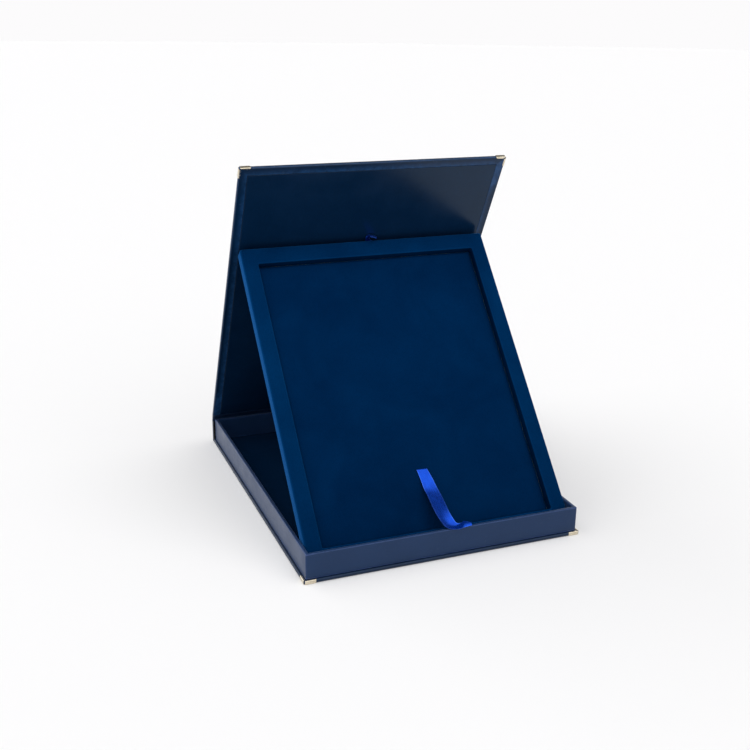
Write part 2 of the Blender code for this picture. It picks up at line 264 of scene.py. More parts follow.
class Nodes:
    """A short way to write a material's nodes."""

    def __init__(self, name):
        self.material = bpy.data.materials.new(name)
        self.material.use_nodes = True
        self.tree = self.material.node_tree
        self.shader = self.tree.nodes["Principled BSDF"]
        where = self.add("ShaderNodeTexCoord")
        self.place, self.across = where.outputs["Object"], where.outputs["UV"]

    def add(self, kind, **values):
        made = self.tree.nodes.new(kind)
        for key, value in values.items():
            setattr(made, key, value)
        return made

    def put(self, socket, value):
        """Links another node's output to the socket, or sets a constant on it."""
        if isinstance(value, bpy.types.NodeSocket):
            self.tree.links.new(value, socket)
        else:
            socket.default_value = value

    def set(self, **values):
        """Sets the shader's own sockets. An underscore stands for a space."""
        for key, value in values.items():
            self.put(self.shader.inputs[key.replace("_", " ")], value)

    def noise(self, scale, detail=2.0, roughness=0.5, stretch=None, distortion=0.0):
        made = self.add("ShaderNodeTexNoise")
        self.put(made.inputs["Vector"], self.stretched(stretch))
        made.inputs["Scale"].default_value = scale
        made.inputs["Detail"].default_value = detail
        made.inputs["Roughness"].default_value = roughness
        made.inputs["Distortion"].default_value = distortion
        return made.outputs["Fac"]

    def cells(self, scale):
        """How far each spot is from the nearest of many scattered points."""
        made = self.add("ShaderNodeTexVoronoi")
        self.put(made.inputs["Vector"], self.place)
        made.inputs["Scale"].default_value = scale
        return made.outputs["Distance"]

    def stretched(self, stretch):
        """The place on the piece, scaled along each axis so that a texture runs one way."""
        if stretch is None:
            return self.place
        made = self.add("ShaderNodeMapping")
        self.put(made.inputs["Vector"], self.place)
        made.inputs["Scale"].default_value = stretch
        return made.outputs["Vector"]

    def ramp(self, value, *stops):
        """A colour ramp. Each stop is (position, colour or grey)."""
        made = self.add("ShaderNodeValToRGB")
        self.put(made.inputs["Fac"], value)
        elements = made.color_ramp.elements
        while len(elements) < len(stops):
            elements.new(1.0)
        for element, (position, colour) in zip(elements, stops):
            element.position = position
            grey = (colour,) * 3 if isinstance(colour, float) else colour
            element.color = (*grey, 1.0)
        return made.outputs["Color"]

    def mix(self, share, one, two, blend="MIX"):
        """Mixes two colours. The node has sockets of the same name for each type of value."""
        made = self.add("ShaderNodeMix", data_type="RGBA", blend_type=blend)
        self.put(made.inputs["Factor"], share)
        for socket, value in (("A", one), ("B", two)):
            target = [s for s in made.inputs if s.name == socket and s.type == "RGBA"][0]
            if isinstance(value, tuple) and len(value) == 3:
                value = (*value, 1.0)
            self.put(target, value)
        return [s for s in made.outputs if s.type == "RGBA"][0]

    def math(self, operation, one, two=0.0):
        made = self.add("ShaderNodeMath", operation=operation)
        for socket, value in zip(made.inputs, (one, two)):
            self.put(socket, value)
        return made.outputs["Value"]

    def range(self, value, low, high, to_low, to_high):
        made = self.add("ShaderNodeMapRange")
        for key, number in (
            ("Value", value), ("From Min", low), ("From Max", high),
            ("To Min", to_low), ("To Max", to_high),
        ):
            self.put(made.inputs[key], number)
        return made.outputs["Result"]

    def bump(self, height, distance, strength=1.0, after=None):
        made = self.add("ShaderNodeBump")
        self.put(made.inputs["Height"], height)
        made.inputs["Distance"].default_value = distance
        made.inputs["Strength"].default_value = strength
        if after:
            self.put(made.inputs["Normal"], after)
        return made.outputs["Normal"]

    def convex_edge_mask(self, start, end):
        """1 on convex edges and 0 elsewhere, from how sharply the surface turns."""
        made = self.add("ShaderNodeNewGeometry")
        return self.range(made.outputs["Pointiness"], start, end, 0.0, 1.0)


def leatherette(name, dark, pale, gloss, rough, sheen, edge_highlight_colour, edge_highlight_share):
    """Covering paper: fine pebbled grain, satin gloss, and painted highlights along its convex
    edges.
    """
    n = Nodes(name)
    broad = n.noise(28.0, 3.0, 0.55)
    base = n.ramp(broad, (0.30, dark), (0.72, pale))
    pores = n.cells(2600.0)
    grain = n.noise(1900.0, 3.0, 0.6)
    relief = n.math("ADD", n.math("MULTIPLY", pores, 0.7), n.math("MULTIPLY", grain, 0.6))
    valleys = n.ramp(relief, (0.35, 0.72), (0.75, 1.0))
    base = n.mix(1.0, base, valleys, "MULTIPLY")
    specks = n.ramp(n.noise(420.0, 1.0, 0.4), (0.71, 0.0), (0.76, 0.22))
    base = n.mix(specks, base, (0.045, 0.075, 0.150))
    # Painted highlight: the colour turns paler along convex edges, where a rounded edge would catch
    # the light, broken up by noise.
    highlight_breakup = n.range(n.noise(190.0, 3.0, 0.6), 0.32, 0.62, 0.35, 1.0)
    painted_edge_highlight = n.math("MULTIPLY", n.convex_edge_mask(0.515, 0.55), highlight_breakup)
    base = n.mix(n.math("MULTIPLY", painted_edge_highlight, edge_highlight_share), base, edge_highlight_colour)
    n.set(Base_Color=base, Specular_IOR_Level=gloss, Sheen_Weight=sheen, Sheen_Roughness=0.45)
    n.set(Sheen_Tint=(0.80, 0.86, 1.0, 1.0), Specular_Tint=(0.80, 0.90, 1.0, 1.0))
    n.set(Roughness=n.range(n.noise(46.0, 3.0, 0.6), 0.3, 0.7, rough, rough + 0.12))
    wavy = n.bump(n.noise(38.0, 1.0), 0.00025, 0.5)
    n.set(Normal=n.bump(relief, 0.00006, 0.55, wavy))
    return n.material


def lining_paper():
    """Smooth lining paper with a soft gloss, slightly mottled from the glue under it."""
    n = Nodes("lining_paper")
    mottle = n.noise(34.0, 4.0, 0.6)
    base = n.ramp(mottle, (0.3, (0.0014, 0.0150, 0.0470)), (0.7, (0.0022, 0.0185, 0.0570)))
    fibres = n.noise(900.0, 3.0, 0.6, stretch=(1.0, 0.35, 0.35))
    base = n.mix(0.35, base, n.ramp(fibres, (0.3, 0.6), (0.7, 1.0)), "MULTIPLY")
    n.set(Base_Color=base, Specular_IOR_Level=0.32, Specular_Tint=(0.70, 0.88, 1.0, 1.0))
    n.set(Roughness=n.range(mottle, 0.3, 0.7, 0.17, 0.24))
    wavy = n.bump(n.noise(22.0, 2.0), 0.0004, 0.35)
    n.set(Normal=n.bump(fibres, 0.00003, 0.35, wavy))
    return n.material


def velour(name, dark, pale, sheen=0.48, tint=(0.02, 0.36, 1.0)):
    """Short-napped velour: tufts, brushed patches, a few specks of lint and painted light that
    makes it paler towards the top.
    """
    n = Nodes(name)
    brushed = n.noise(17.0, 3.0, 0.6, distortion=0.6)
    base = n.ramp(brushed, (0.30, dark), (0.72, pale))
    tufts = n.noise(2400.0, 2.0, 0.7)
    base = n.mix(1.0, base, n.ramp(tufts, (0.30, 0.60), (0.70, 1.25)), "MULTIPLY")
    # Painted light: the colour is darker towards the panel's foot and paler towards its top, as if
    # lit more strongly from above.
    height = n.add("ShaderNodeSeparateXYZ")
    n.put(height.inputs[0], n.place)
    painted_light_by_height = n.range(height.outputs["Z"], 0.04, 0.21, 0.90, 1.16)
    painted_light_colour = n.add("ShaderNodeCombineXYZ")
    for socket in painted_light_colour.inputs:
        n.put(socket, painted_light_by_height)
    base = n.mix(1.0, base, painted_light_colour.outputs["Vector"], "MULTIPLY")
    lint = n.ramp(n.cells(95.0), (0.0, 1.0), (0.022, 0.0))
    base = n.mix(n.math("MULTIPLY", lint, 0.30), base, (0.10, 0.16, 0.30))
    n.set(Base_Color=base, Specular_IOR_Level=0.0, Sheen_Weight=sheen, Sheen_Roughness=0.30)
    n.set(Sheen_Tint=(*tint, 1.0))
    n.set(Roughness=n.range(brushed, 0.3, 0.7, 0.80, 0.95))
    n.set(Normal=n.bump(tufts, 0.00018, 0.6, n.bump(brushed, 0.0005, 0.3)))
    return n.material


def satin(name):
    """Woven satin ribbon: fine warp lines, a coloured gloss and painted highlights along both
    edges.
    """
    n = Nodes(name)
    warp = n.noise(2600.0, 2.0, 0.6, stretch=(1.0, 0.08, 0.08))
    shade = n.noise(120.0, 2.0)
    base = n.ramp(shade, (0.3, (0.0012, 0.046, 0.42)), (0.7, (0.0030, 0.068, 0.56)))
    base = n.mix(0.5, base, n.ramp(warp, (0.3, 0.7), (0.7, 1.1)), "MULTIPLY")
    # Painted highlight: both edges of the ribbon are paler, as where an edge curls up into the
    # light.
    split = n.add("ShaderNodeSeparateXYZ")
    n.put(split.inputs[0], n.across)
    side = n.math("ABSOLUTE", n.math("SUBTRACT", split.outputs["X"], 0.5))
    painted_ribbon_edge_light = n.ramp(side, (0.44, 0.0), (0.475, 1.0))
    base = n.mix(n.math("MULTIPLY", painted_ribbon_edge_light, 0.6), base, (0.045, 0.150, 0.72))
    n.set(Base_Color=base, Metallic=0.75, Specular_IOR_Level=0.3, Anisotropic=0.4)
    n.set(Roughness=n.range(warp, 0.3, 0.7, 0.22, 0.32))
    n.set(Normal=n.bump(warp, 0.00005, 0.4))
    return n.material


def hinge_tape():
    """Plain woven bookbinder's cloth."""
    n = Nodes("cloth_tape")
    across = n.noise(1500.0, 1.0, 0.5, stretch=(1.0, 0.12, 0.12))
    along = n.noise(1500.0, 1.0, 0.5, stretch=(0.12, 1.0, 1.0))
    weave = n.math("MULTIPLY", across, along)
    base = n.ramp(weave, (0.15, (0.003, 0.008, 0.024)), (0.40, (0.010, 0.022, 0.060)))
    n.set(Base_Color=base, Specular_IOR_Level=0.2, Sheen_Weight=0.15, Sheen_Roughness=0.5)
    n.set(Roughness=n.range(weave, 0.1, 0.4, 0.75, 0.9))
    n.set(Normal=n.bump(weave, 0.0001, 0.5))
    return n.material


def brass():
    """Pale polished brass with fine brushing, handling marks and a little tarnish."""
    n = Nodes("pale_brass")
    cloudy = n.noise(260.0, 3.0, 0.6)
    base = n.ramp(cloudy, (0.3, (0.56, 0.49, 0.36)), (0.72, (0.80, 0.73, 0.59)))
    scratches = n.noise(1500.0, 2.0, 0.6, stretch=(0.15, 1.0, 1.0))
    n.set(Base_Color=base, Metallic=1.0)
    n.set(Roughness=n.range(scratches, 0.3, 0.7, 0.16, 0.34))
    n.set(Normal=n.bump(scratches, 0.00003, 0.4, n.bump(cloudy, 0.0001, 0.3)))
    return n.material


def greyboard():
    """Grey binder's board, pressed from mixed fibres."""
    n = Nodes("greyboard")
    fibres = n.noise(1200.0, 4.0, 0.7, stretch=(0.4, 1.0, 1.0))
    base = n.ramp(fibres, (0.3, (0.22, 0.205, 0.185)), (0.7, (0.34, 0.32, 0.29)))
    flecks = n.ramp(n.cells(420.0), (0.0, 1.0), (0.08, 0.0))
    base = n.mix(n.math("MULTIPLY", flecks, 0.5), base, (0.10, 0.10, 0.11))
    n.set(Base_Color=base, Specular_IOR_Level=0.2)
    n.set(Roughness=n.range(fibres, 0.3, 0.7, 0.82, 0.95))
    n.set(Normal=n.bump(fibres, 0.0001, 0.5))
    return n.material


# The last two values of each covering give the colour and the share of its painted edge highlights.
LEATHERETTE = leatherette(
    "leatherette_navy", (0.0070, 0.0290, 0.0920), (0.0095, 0.0345, 0.1080),
    gloss=0.28, rough=0.30, sheen=0.10, edge_highlight_colour=(0.070, 0.110, 0.300), edge_highlight_share=0.85,
)
# Painted shade: a darker copy of the same navy covering, for the bottom board, spine, hinge joint
# and lid's outside, so the parts near the floor look shaded.
SHADED_CASE_LEATHERETTE = leatherette(
    "leatherette_navy_case_shaded", (0.0014, 0.0115, 0.0370), (0.0022, 0.0145, 0.0460),
    gloss=0.30, rough=0.36, sheen=0.0, edge_highlight_colour=(0.016, 0.040, 0.110), edge_highlight_share=0.55,
)
LID_LEATHERETTE = leatherette(
    "leatherette_navy_lid", (0.0014, 0.0155, 0.0480), (0.0022, 0.0190, 0.0590),
    gloss=0.32, rough=0.16, sheen=0.0, edge_highlight_colour=(0.020, 0.085, 0.240), edge_highlight_share=0.75,
)
LINING = lining_paper()
VELOUR_FRAME = velour("velour_frame_blue", (0.0001, 0.0190, 0.0740), (0.0003, 0.0270, 0.0990))
VELOUR_RECESS = velour("velour_recess_blue", (0.0001, 0.0145, 0.0590), (0.0003, 0.0205, 0.0790))
# Painted light and shade: paler copies of the velour for the outer skirt and the rims, and a darker
# copy for the walls down into the recess.
VELOUR_SKIRT_PAINTED_LIGHT = velour(
    "velour_skirt_painted_light", (0.0015, 0.0400, 0.1500), (0.0030, 0.0520, 0.1850),
    sheen=0.90, tint=(0.08, 0.38, 1.0),
)
VELOUR_FALL_PAINTED_SHADE = velour(
    "velour_fall_painted_shade", (0.0001, 0.0090, 0.0360), (0.0002, 0.0130, 0.0480), sheen=0.10
)
VELOUR_RIM_PAINTED_HIGHLIGHT = velour(
    "velour_rim_painted_highlight", (0.0004, 0.0240, 0.0900), (0.0008, 0.0330, 0.1180),
    sheen=0.95, tint=(0.06, 0.40, 1.0),
)
SATIN = satin("satin_royal_blue")
TAPE = hinge_tape()
BRASS = brass()
GREYBOARD = greyboard()

FINISHES = {
    "leatherette": LEATHERETTE, "lining": LINING, "velour": VELOUR_FRAME, "satin": SATIN,
    "hinge_tape": TAPE, "brass": BRASS, "greyboard": GREYBOARD,
}
for part in frame["record"]["subparts"]:
    data = NODES[part["node"]].data
    data.materials.clear()
    data.materials.append(FINISHES[part["material_slot"]])


# ---------------------------------------------------------------- covered boards of the case

def covered_board(name, place, body, low, high, turn_in, hinge_at_low, material, replaces):
    """A board wrapped in covering paper, with the paper's edge turned in on its inner face."""
    edge, step = EDGE_ROUND, PAPER_STEP
    outline = board_outline(low, high, edge)
    outline += [
        (turn_in - step, high.z), (turn_in, high.z - step), (turn_in + step / 2, high.z - PAPER),
    ]
    rings = []
    for inset, height in outline:
        past = height > low.z + edge and inset > edge + BESIDE * 2 + 1e-6
        near = edge + BESIDE * 2 if past else inset
        low_y = low.y + (near if hinge_at_low else inset)
        high_y = high.y - (inset if hinge_at_low else near)
        ring = ring_points(
            (low.x + inset, low_y), (high.x - inset, high_y), BOARD_CORNER - inset, pieces=8
        )
        rings.append([(x, y, height) for x, y in ring])
    shape = rings_to_mesh(rings)
    return piece(name, shape, place, body, material, replaces)


def plate(plan, low_z, high_z, edge):
    """A flat plate over a plan outline, with its rim softened."""
    middle = sum((Vector(p) for p in plan), Vector((0.0, 0.0))) / len(plan)
    rings = []
    for inset, height in [
        *arc((edge, low_z + edge), edge, 270, 180, 2),
        *arc((edge, high_z - edge), edge, 180, 90, 2),
    ]:
        ring = []
        for p in plan:
            towards = middle - Vector(p)
            ring.append((*(Vector(p) + towards.normalized() * inset), height))
        rings.append(ring)
    return rings_to_mesh(rings)


def guard_leg(low_z, high_z, leg):
    """One folded leg of a guard along X: over the outer face, the edge and a flap on the inner."""
    out, thin, flap, lap = BRASS_PROUD, BRASS_THICK, GUARD_FLAP, GUARD_FLAP * 1.4
    bend = thin * 1.6
    skin = [(lap, low_z - out)]
    skin += arc((-out + bend, low_z - out + bend), bend, 270, 180, 4)
    skin += arc((-out + bend, high_z + out - bend), bend, 180, 90, 4)
    skin += [(flap - thin, high_z + out), (flap, high_z + out - thin * 0.6)]
    inside = [(flap - thin * 0.5, high_z + out - thin)]
    inside += arc((-out + bend, high_z + out - bend), bend - thin, 90, 180, 4)
    inside += arc((-out + bend, low_z - out + bend), bend - thin, 180, 270, 4)
    inside += [(lap, low_z - out + thin)]
    stations = []
    for share in (0.0, 0.04, 0.35, 0.7, 0.93, 1.0):
        pulled = thin * 0.8 if share in (0.0, 1.0) else 0.0
        ring = []
        for depth, height in skin + inside:
            into = max(depth, 0.0)
            start, end = GUARD_MITRE + into, leg - into * 0.75
            middle = (low_z + high_z) / 2
            height = height + (middle - height) * (pulled * 6)
            ring.append((start + (end - start) * share, depth, height))
        stations.append(ring)
    return rings_to_mesh(stations)


def corner_guard(name, place, body, corner, inward, low_z, high_z, leg, replaces):
    """A pressed brass corner: a triangle on the outer face and two folded legs that meet in an
    open mitre at the corner."""
    end, out, thin = GUARD_LEG_ROUND, BRASS_PROUD, BRASS_THICK
    tip = GUARD_MITRE * 1.3
    plan = [(tip, -out + 0.0001), (leg - end, -out)]
    plan += [
        (leg - end + end * math.cos(a), -out + end + end * math.sin(a))
        for a in (math.radians(-45), 0.0, math.radians(45), math.radians(90))
    ]
    plan += [(leg * 0.50, leg * 0.40), (leg * 0.40, leg * 0.50)]
    plan += [
        (-out + end + end * math.cos(a), leg - end + end * math.sin(a))
        for a in (0.0, math.radians(45), math.radians(90), math.radians(135))
    ]
    plan += [(-out, leg - end), (-out + 0.0001, tip)]
    triangle = plate(plan, low_z - out, low_z - out + thin, thin * 0.4)
    leg_along_x = guard_leg(low_z, high_z, leg)
    leg_along_y = guard_leg(low_z, high_z, leg)
    for vert in leg_along_y.verts:
        vert.co.x, vert.co.y = vert.co.y, vert.co.x
    whole = bmesh.new()
    for shape in (triangle, leg_along_x, leg_along_y):
        bmesh.ops.recalc_face_normals(shape, faces=shape.faces)
        mesh = bpy.data.meshes.new("guard_step")
        shape.to_mesh(mesh)
        shape.free()
        whole.from_mesh(mesh)
        bpy.data.meshes.remove(mesh)
    for vert in whole.verts:
        vert.co.x = corner[0] + inward[0] * vert.co.x
        vert.co.y = corner[1] + inward[1] * vert.co.y
    return piece(name, whole, place, body, BRASS, replaces)


def lining_sheet(name, place, body, low, high, replaces):
    """A glued sheet of lining paper with softly rounded edges."""
    edge = (high.z - low.z) * 0.45
    shape = rounded_slab(low, high, edge, SHEET_CORNER)
    return piece(name, shape, place, body, LINING, replaces)


bottom_low, bottom_high = inner_box("bottom_cover", BASE)
covered_board(
    "bottom_covering", BASE, "base", bottom_low, bottom_high, BOTTOM_TURN_IN, False,
    SHADED_CASE_LEATHERETTE, ["bottom_cover"],
)
lid_low, lid_high = inner_box("lid_cover", LID)
lining_low, lining_high = inner_box("lid_lining", LID)
lid_turn_in = lining_low.x - lid_low.x - PAPER
lid_covering = covered_board(
    "lid_covering", LID, "lid", lid_low, lid_high, lid_turn_in, True, LID_LEATHERETTE,
    ["lid_cover"],
)
# The lid's outside takes the darker case copy of the covering, painted shade with a soft gloss, and
# its edges and inside are burnished.
lid_covering.data.materials.append(SHADED_CASE_LEATHERETTE)
lid_outwards = (LID.to_3x3() @ Vector((0.0, 0.0, -1.0))).normalized()
for face in lid_covering.data.polygons:
    if face.normal.dot(lid_outwards) > 0.9:
        face.material_index = 1
lining_sheet("lid_lining_sheet", LID, "lid", lining_low, lining_high, ["lid_lining"])
floor_low, floor_high = inner_box("tray_floor_lining", BASE)
lining_sheet(
    "tray_floor_sheet", BASE, "base", floor_low, floor_high, ["tray_floor_lining"]
)
spine_low, spine_high = inner_box("spine_cover", BASE)
piece(
    "spine_covering", rounded_slab(spine_low, spine_high, 0.0008, 0.0009), BASE,
    "base", SHADED_CASE_LEATHERETTE, ["spine_cover"],
)

for side, sign in (("left", -1), ("right", 1)):
    low, high = inner_box(f"bottom_corner_{side}", BASE)
    corner_guard(
        f"bottom_guard_{side}", BASE, "base", (sign * bottom_high.x, bottom_low.y), (-sign, 1),
        bottom_low.z + BRASS_PROUD, bottom_high.z, high.x - low.x, [f"bottom_corner_{side}"],
    )
    low, high = inner_box(f"lid_corner_{side}", LID)
    corner_guard(
        f"lid_guard_{side}", LID, "lid", (sign * lid_high.x, lid_high.y), (-sign, -1),
        lid_low.z, lid_high.z, high.x - low.x, [f"lid_corner_{side}"],
    )


# ---------------------------------------------------------------- tray

def tray_covering():
    """Covering paper over the four walls, with rounded rims and mitred folds at the corners."""
    low, high = inner_box("tray_wrap", BASE)
    inside_low = inner_box("tray_floor_lining", BASE)[0]
    thick = inside_low.x - low.x - PAPER
    edge = WALL_ROUND
    under = [low.z, low.z + BESIDE, low.z + BESIDE * 2, high.z - edge - BESIDE * 2,
             high.z - edge - BESIDE]
    outline = [(0.0, height) for height in under]
    outline += arc((edge, high.z - edge), edge, 180, 90, 5)
    outline += arc((thick - edge, high.z - edge), edge, 90, 0, 5)
    outline += [(thick, height) for height in under[::-1]]
    steps, pieces = 6, 24
    rings = []
    for inset, height in outline:
        ring = ring_points(
            (low.x + inset, low.y + inset), (high.x - inset, high.y - inset),
            TRAY_CORNER - inset, steps=steps, pieces=pieces,
        )
        on_rim = height > high.z - edge * 0.9
        points = []
        for i, (x, y) in enumerate(ring):
            in_arc = i % (steps + pieces)
            groove = MITRE_GROOVE if on_rim and in_arc == steps // 2 else 0.0
            points.append((x, y, height - groove))
        rings.append(points)
    shape = rings_to_mesh(rings, closed=True)
    return piece("tray_covering", shape, BASE, "base", LEATHERETTE, ["tray_wrap"])


tray_covering()


# ---------------------------------------------------------------- velour panel

frame_low, frame_high = inner_box("panel_velour_frame", PANEL)
pad_low, pad_high = inner_box("recess_pad", PANEL)
rail_low = inner_box("panel_rail_left", PANEL)[0].z


def velour_frame():
    """Velour drawn over the raised rails, down the outside and down into the recess."""
    edge = NAP_ROUND
    hole_low = (pad_low.x - PAPER, pad_low.y - PAPER)
    hole_high = (pad_high.x + PAPER, pad_high.y + PAPER)
    outer, inner = [], []
    for depth in (0.0, NAP):
        round_by = edge - depth
        section = [(depth, frame_low.z)]
        section += arc((edge, frame_high.z - edge), round_by, 180, 90, 5)
        outer.append(section)
        fall = [(-depth, rail_low)]
        fall += arc((-edge, frame_high.z - edge), round_by, 0, 90, 5)
        inner.append(fall[::-1])

    def outer_ring(inset, height):
        ring = ring_points(
            (frame_low.x + inset, frame_low.y + inset),
            (frame_high.x - inset, frame_high.y - inset), PANEL_CORNER - inset * 0.6, pieces=24,
        )
        return [(x, y, height) for x, y in ring]

    def inner_ring(inset, height):
        ring = ring_points(
            (hole_low[0] + inset, hole_low[1] + inset),
            (hole_high[0] - inset, hole_high[1] - inset), WINDOW_CORNER - inset * 0.8, pieces=24,
        )
        return [(x, y, height) for x, y in ring]

    rings = [outer_ring(*p) for p in outer[0]] + [inner_ring(*p) for p in inner[0]]
    rings += [inner_ring(*p) for p in inner[1][::-1]] + [outer_ring(*p) for p in outer[1][::-1]]
    shape = rings_to_mesh(rings, closed=True)
    made = piece(
        "velour_frame", shape, PANEL, "panel", VELOUR_FRAME, ["panel_velour_frame"]
    )
    # The outer skirt gets a paler copy of the velour, painted light, and the rims a paler one,
    # painted highlights;
    # the walls down into the recess get a darker copy, painted shade.
    lit_skirt_index, shaded_fall_index, highlight_rim_index = 1, 2, 3
    for velour_face in (VELOUR_SKIRT_PAINTED_LIGHT, VELOUR_FALL_PAINTED_SHADE, VELOUR_RIM_PAINTED_HIGHLIGHT):
        made.data.materials.append(velour_face)
    back = PANEL.inverted()
    for face in made.data.polygons:
        level = abs((back.to_3x3() @ face.normal).z)
        if 0.5 <= level < 0.97:
            face.material_index = highlight_rim_index
        elif level < 0.5:
            spot = back @ face.center
            inside = (
                hole_low[0] - 0.001 < spot.x < hole_high[0] + 0.001
                and hole_low[1] - 0.001 < spot.y < hole_high[1] + 0.001
            )
            face.material_index = shaded_fall_index if inside else lit_skirt_index


velour_frame()


def recess_pad():
    """The velour-covered floor of the recess: soft at its rim and round the ribbon's slot."""
    slot_low = Vector((SLOT_MIDDLE - SLOT_REACH, SLOT_AT - SLOT_HALF))
    slot_high = Vector((SLOT_MIDDLE + SLOT_REACH, SLOT_AT + SLOT_HALF))

    def lines(low, high, near_low, near_high):
        """Grid lines along one axis, closer together at the pad's rim and at the slot."""
        spots = [low + d for d in (0.0, 0.0004, 0.0010, 0.0018, PAD_RIM)]
        spots += [high - d for d in (0.0, 0.0004, 0.0010, 0.0018, PAD_RIM)]
        for edge, side in ((near_low, -1), (near_high, 1)):
            spots += [edge + side * d for d in (0.0, 0.0004, 0.001, 0.002, 0.004)]
        for i in range(1, int((high - low) / PAD_GRID)):
            spot = low + PAD_RIM + i * PAD_GRID
            if min(abs(spot - s) for s in spots) > PAD_GRID * 0.3 and spot < high - PAD_RIM:
                if not near_low < spot < near_high:
                    spots.append(spot)
        return sorted(spots)

    xs = lines(pad_low.x, pad_high.x, slot_low.x, slot_high.x)
    ys = lines(pad_low.y, pad_high.y, slot_low.y, slot_high.y)

    def height(x, y):
        rim = min(x - pad_low.x, pad_high.x - x, y - pad_low.y, pad_high.y - y)
        fall = PAD_FALL * max(0.0, 1.0 - rim / PAD_RIM) ** 2
        dx = max(slot_low.x - x, 0.0, x - slot_high.x)
        dy = max(slot_low.y - y, 0.0, y - slot_high.y)
        dip = SLOT_DIP * math.exp(-math.hypot(dx, dy) / SLOT_DIP_REACH)
        wave = 0.00010 * noise.noise(Vector((x * 22.0, y * 22.0, 3.0)))
        return pad_high.z - fall - dip + wave * min(1.0, rim / 0.006)

    shape = bmesh.new()
    top = [[shape.verts.new((x, y, height(x, y))) for x in xs] for y in ys]
    low = [[shape.verts.new((x, y, pad_low.z)) for x in xs] for y in ys]

    def in_slot(i, j):
        x, y = (xs[i] + xs[i + 1]) / 2, (ys[j] + ys[j + 1]) / 2
        return slot_low.x < x < slot_high.x and slot_low.y < y < slot_high.y

    for j in range(len(ys) - 1):
        for i in range(len(xs) - 1):
            if in_slot(i, j):
                continue
            shape.faces.new((top[j][i], top[j][i + 1], top[j + 1][i + 1], top[j + 1][i]))
            shape.faces.new((low[j][i], low[j + 1][i], low[j + 1][i + 1], low[j][i + 1]))
    open_edges = [e for e in shape.edges if len(e.link_faces) == 1]
    above = {(v.co.x, v.co.y): v for row in top for v in row}
    below = {(v.co.x, v.co.y): v for row in low for v in row}
    for edge in open_edges:
        one, two = edge.verts
        if one.co.z <= pad_low.z + 1e-7 and below.get((one.co.x, one.co.y)) is one:
            continue
        under_one, under_two = below[one.co.x, one.co.y], below[two.co.x, two.co.y]
        shape.faces.new((one, two, under_two, under_one))
    for vert in [v for v in shape.verts if not v.link_faces]:
        shape.verts.remove(vert)
    made = piece(
        "recess_cushion", shape, PANEL, "panel", VELOUR_RECESS, ["recess_pad"],
        smooth=math.radians(60),
    )


recess_pad()


# ---------------------------------------------------------------- ribbons

def through(points, steps):
    """A smooth line through points."""
    points = [Vector(p) for p in points]
    ends = [2 * points[0] - points[1], *points, 2 * points[-1] - points[-2]]
    line = []
    for a, b, c, d in zip(ends, ends[1:], ends[2:], ends[3:]):
        for i in range(steps):
            t = i / steps
            line.append(
                0.5 * (2 * b + (c - a) * t + (2 * a - 5 * b + 4 * c - d) * t * t
                       + (3 * b - a - 3 * c + d) * t ** 3)
            )
    return [*line, points[-1]]


def shares_of(rows):
    """((share across, share along), vertex) for each vertex of a grid."""
    return [
        ((j / (len(row) - 1), i / (len(rows) - 1)), vert)
        for i, row in enumerate(rows) for j, vert in enumerate(row)
    ]


def ribbon(name, left, right, cups, replaces):
    """A thin ribbon between two edge lines, bowed across its width by cups."""
    steps, across = 6, 12
    left, right = through(left, steps), through(right, steps)
    cups = [c.x for c in through([(c, 0.0, 0.0) for c in cups], steps)]
    count = len(left)
    grid, normals = [], []
    for i in range(count):
        ahead, behind = min(i + 1, count - 1), max(i - 1, 0)
        along = (left[ahead] + right[ahead] - left[behind] - right[behind]).normalized()
        normal = along.cross(right[i] - left[i]).normalized()
        row = []
        for j in range(across + 1):
            t = j / across
            bow = 4.0 * t * (1.0 - t) * cups[i]
            row.append(left[i].lerp(right[i], t) + normal * bow)
        grid.append(row)
        normals.append(normal)
    shape = bmesh.new()
    sides = []
    for offset in (0.5, -0.5):
        sides.append([
            [shape.verts.new(p + normal * offset * RIBBON_THICK) for p in row]
            for row, normal in zip(grid, normals)
        ])
    upper, lower = sides
    for i in range(count - 1):
        for j in range(across):
            shape.faces.new((upper[i][j], upper[i][j + 1], upper[i + 1][j + 1], upper[i + 1][j]))
            shape.faces.new((lower[i][j], lower[i + 1][j], lower[i + 1][j + 1], lower[i][j + 1]))
        for j in (0, across):
            shape.faces.new((upper[i][j], upper[i + 1][j], lower[i + 1][j], lower[i][j]))
    for i in (0, count - 1):
        for j in range(across):
            shape.faces.new((upper[i][j], lower[i][j], lower[i][j + 1], upper[i][j + 1]))
    layer = shape.loops.layers.uv.new("weave")
    for shares, vert in shares_of(upper) + shares_of(lower):
        for loop in vert.link_loops:
            loop[layer].uv = shares
    return piece(
        name, shape, PANEL, "panel", SATIN, replaces, smooth=math.radians(60)
    )


def millimetres(*points):
    """Points given in millimetres, in metres."""
    return [tuple(value / 1000.0 for value in point) for point in points]


